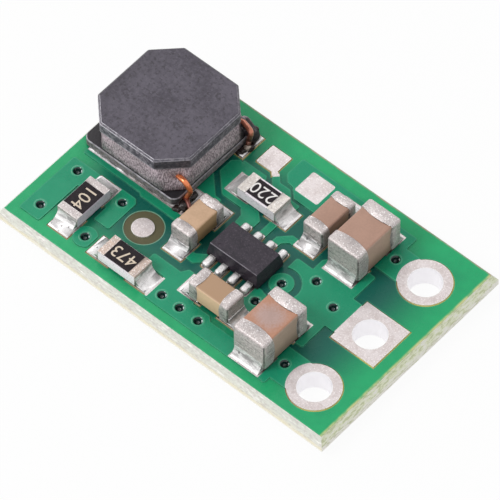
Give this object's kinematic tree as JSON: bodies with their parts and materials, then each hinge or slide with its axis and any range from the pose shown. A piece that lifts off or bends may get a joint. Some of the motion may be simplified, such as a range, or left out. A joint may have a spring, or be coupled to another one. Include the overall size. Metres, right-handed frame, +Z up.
{
  "type": "boost converter module",
  "caption": "Bare step-up voltage regulator board: coated circuit board with a drum inductor, a small regulator chip, chip resistors and capacitors, and a row of plated pin holes.",
  "frame": {"origin": "centre of the board's underside, which it rests on", "axes": "+X along the board towards the row of pin holes, +Y towards the back edge by the inductor, +Z up from the board towards its parts"},
  "size_m": [0.013, 0.0082, 0.0026],
  "materials": {
    "laminate": "glass laminate, satin, scored and snapped edges",
    "mask": "clear green solder mask, glossy",
    "copper": "copper foil and plating, dull",
    "tinned": "copper with a bright tin finish",
    "alumina": "sintered, fine matt",
    "plated_end": "tin plated, speckled satin",
    "overcoat": "dark glassy coat",
    "beige_ceramic": "fired ceramic, satin",
    "brown_ceramic": "fired ceramic, satin",
    "solder": "reflowed solder, bright",
    "moulding": "moulded epoxy, fine matt",
    "lead": "plated, satin",
    "ferrite": "pressed and fired ferrite, fine mottling",
    "wire": "enamelled copper, glossy",
    "resin": "resin loaded with iron powder, speckled"
  },
  "bodies": {
    "root": {"capacitor_1_body": "beige_ceramic", "capacitor_1_solder": "solder", "capacitor_1_terminals": "plated_end", "capacitor_2_body": "beige_ceramic", "capacitor_2_solder": "solder", "capacitor_2_terminals": "plated_end", "capacitor_3_body": "brown_ceramic", "capacitor_3_solder": "solder", "capacitor_3_terminals": "plated_end", "capacitor_4_body": "brown_ceramic", "capacitor_4_solder": "solder", "capacitor_4_terminals": "plated_end", "capacitor_5_body": "brown_ceramic", "capacitor_5_solder": "solder", "capacitor_5_terminals": "plated_end", "capacitor_lands": "tinned", "copper_bottom": "copper", "copper_top": "copper", "fiducial_pad": "tinned", "inductor_core": "ferrite", "inductor_lands": "tinned", "inductor_resin": "resin", "inductor_solder": "solder", "inductor_terminals": "plated_end", "inductor_winding": "wire", "inductor_wire_back": "wire", "inductor_wire_front": "wire", "laminate_core": "laminate", "pin_hole_back": "tinned", "pin_hole_front": "tinned", "pin_hole_middle": "tinned", "regulator_body": "moulding", "regulator_lands": "tinned", "regulator_leads": "lead", "regulator_solder": "solder", "resistor_1_body": "alumina", "resistor_1_overcoat": "overcoat", "resistor_1_solder": "solder", "resistor_1_terminals": "plated_end", "resistor_2_body": "alumina", "resistor_2_overcoat": "overcoat", "resistor_2_solder": "solder", "resistor_2_terminals": "plated_end", "resistor_3_body": "alumina", "resistor_3_overcoat": "overcoat", "resistor_3_solder": "solder", "resistor_3_terminals": "plated_end", "resistor_lands": "tinned", "solder_mask_bottom": "mask", "solder_mask_top": "mask", "spare_lands": "tinned", "via_barrels": "copper"}
  },
  "joints": []
}
